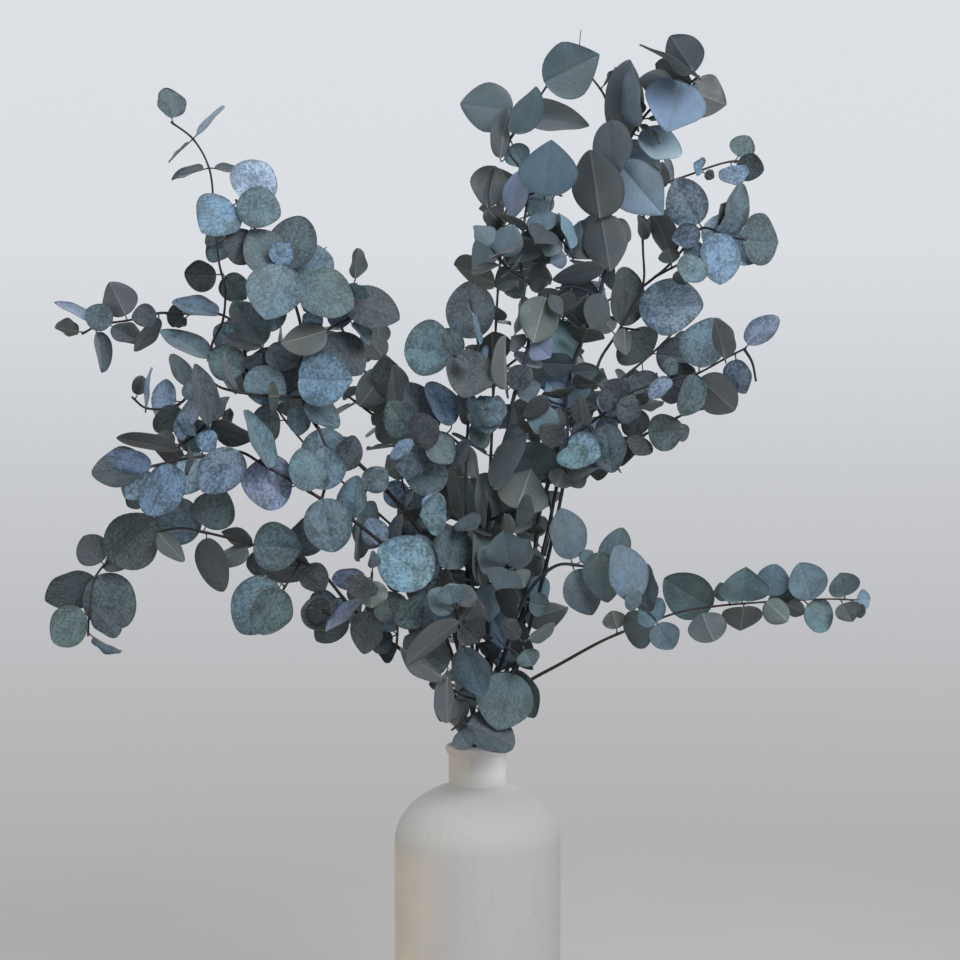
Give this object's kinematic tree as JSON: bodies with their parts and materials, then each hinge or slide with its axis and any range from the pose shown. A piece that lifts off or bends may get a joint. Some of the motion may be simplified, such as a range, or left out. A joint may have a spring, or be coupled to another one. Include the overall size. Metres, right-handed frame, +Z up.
{
  "type": "eucalyptus branches in a bottle vase",
  "caption": "Leafy eucalyptus branches standing loosely in the narrow neck of a matt white bottle vase.",
  "frame": {"origin": "middle of the bottle's flat base, on the surface it stands on", "axes": "+Z up along the bottle's axis, -Y towards the viewer of the arrangement, +X to the viewer's right"},
  "size_m": [0.5054, 0.3023, 0.6653],
  "materials": {
    "bottle": "matt off-white paint",
    "leaf": "powdery blue-grey leaf with a dull bloom",
    "bark": "smooth dark twig"
  },
  "bodies": {
    "root": {"bottle": "bottle", "stem_upper_left": "leaf", "stem_mid_left": "leaf", "stem_low_left": "leaf", "stem_back_left": "leaf", "stem_centre_left": "leaf", "stem_centre": "leaf", "stem_top_right": "leaf", "stem_upper_right": "leaf", "stem_mid_right": "leaf", "stem_low_right": "leaf", "stem_near_right": "leaf", "stem_front": "leaf", "stem_back_one": "leaf", "stem_back_two": "leaf", "stem_back_three": "leaf"}
  },
  "joints": []
}
